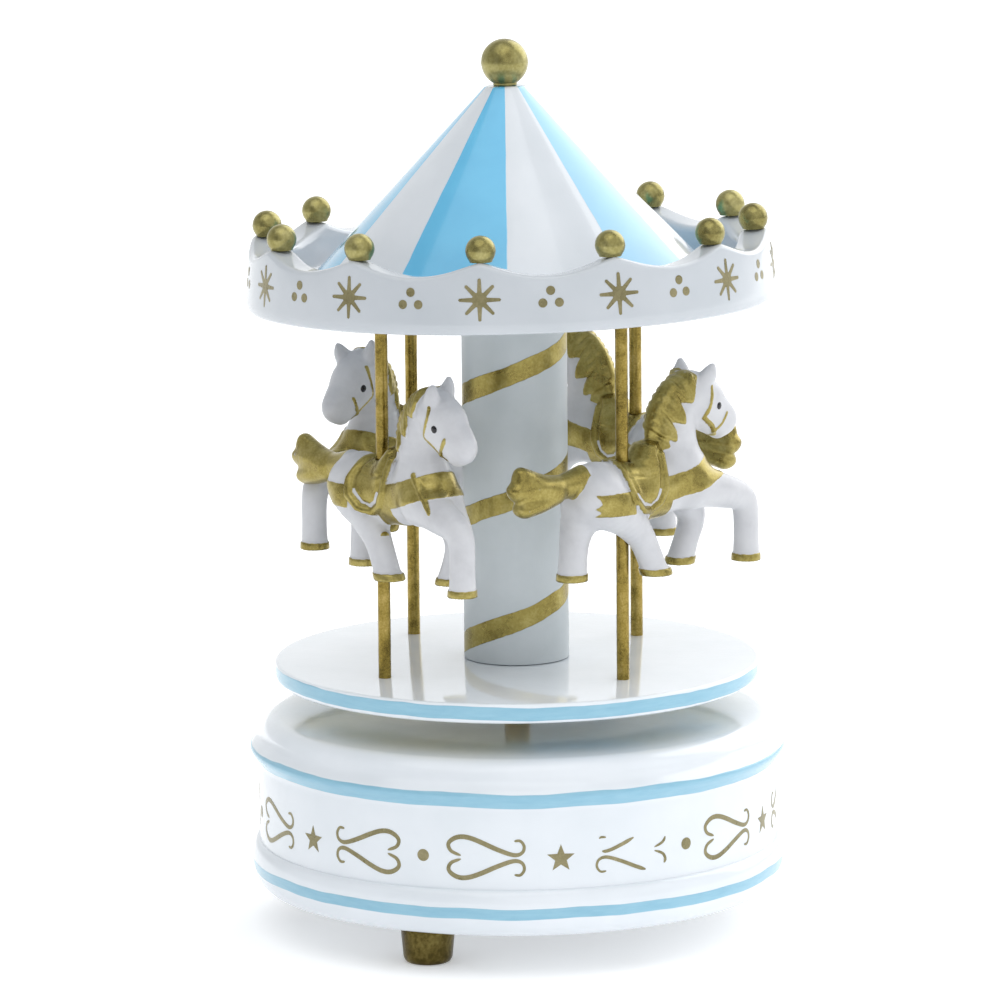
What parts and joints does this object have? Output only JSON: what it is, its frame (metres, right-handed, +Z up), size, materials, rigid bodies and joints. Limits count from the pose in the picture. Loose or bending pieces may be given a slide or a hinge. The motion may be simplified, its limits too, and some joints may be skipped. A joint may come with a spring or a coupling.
{
  "type": "carousel music box",
  "caption": "Wind-up carousel music box: a round footed base with a pinned-cylinder movement, and a turning platform of horses on poles under a striped conical canopy.",
  "frame": {"origin": "on the axis of rotation, at the level of the feet's lower faces", "axes": "+Z up along the axis of rotation; the front of the carousel faces -Y and +X is to its right"},
  "size_m": [0.108, 0.108, 0.1787],
  "materials": {
    "white_gloss": "gloss",
    "white_satin": "satin",
    "striped_gloss": "gloss",
    "horse_white": "gloss",
    "gold_paint": "antique gold paint",
    "gold_rod": "satin",
    "movement_brass": "satin",
    "movement_zinc": "die cast",
    "steel": "brushed",
    "spring_steel": "blued",
    "nylon": "moulded"
  },
  "bodies": {
    "base": {"base_housing": "white_gloss", "base_plate": "white_satin", "foot_front": "gold_paint", "foot_right": "gold_paint", "foot_left": "gold_paint", "plate_screws": "steel", "shaft_bushing": "movement_brass", "movement_bedplate": "movement_zinc", "movement_screws": "steel", "spring_housing": "movement_zinc", "mainspring": "spring_steel", "comb": "steel", "comb_screws": "steel", "cylinder_inner_bearing": "movement_zinc", "cylinder_outer_bearing": "movement_zinc", "governor_frame": "movement_zinc"},
    "carousel": {"drive_shaft": "gold_rod", "great_gear": "movement_brass", "turntable": "white_gloss", "turntable_nut": "steel", "column": "white_satin", "canopy_crown": "white_gloss", "roof_cone": "striped_gloss", "finial": "gold_paint", "pole_1": "gold_rod", "pole_2": "gold_rod", "pole_3": "gold_rod", "pole_4": "gold_rod", "horse_1": "horse_white", "horse_2": "horse_white", "horse_3": "horse_white", "horse_4": "horse_white", "rim_ball_1": "gold_paint", "rim_ball_2": "gold_paint", "rim_ball_3": "gold_paint", "rim_ball_4": "gold_paint", "rim_ball_5": "gold_paint", "rim_ball_6": "gold_paint", "rim_ball_7": "gold_paint", "rim_ball_8": "gold_paint", "rim_ball_9": "gold_paint", "rim_ball_10": "gold_paint", "rim_ball_11": "gold_paint", "rim_ball_12": "gold_paint"},
    "pin_cylinder": {"cylinder_drum": "movement_brass", "cylinder_shaft": "steel", "cylinder_pinion": "movement_brass", "cylinder_gear": "movement_brass"},
    "governor": {"governor_wheel": "nylon", "governor_arbor": "steel"},
    "brake_shaft": {"governor_worm": "steel", "air_brake": "nylon"}
  },
  "joints": [
    {"name": "carousel_spin", "type": "hinge", "parent": "base", "child": "carousel", "pos_m": [0, 0, 0.045], "axis": [0, 0, 1], "continuous": true},
    {"name": "cylinder_spin", "type": "hinge", "parent": "base", "child": "pin_cylinder", "pos_m": [0.0245, 0, 0.0214], "axis": [1, 0, 0], "continuous": true},
    {"name": "governor_spin", "type": "hinge", "parent": "base", "child": "governor", "pos_m": [0.0395, 0.0104, 0.0214], "axis": [1, 0, 0], "continuous": true},
    {"name": "brake_spin", "type": "hinge", "parent": "base", "child": "brake_shaft", "pos_m": [0.0395, 0.0182, 0.0214], "axis": [0, 0, 1], "continuous": true}
  ],
  "couplings": [
    {"joint": "cylinder_spin", "follows": "carousel_spin", "ratio": -2.5},
    {"joint": "governor_spin", "follows": "carousel_spin", "ratio": 9},
    {"joint": "brake_spin", "follows": "carousel_spin", "ratio": -216}
  ]
}
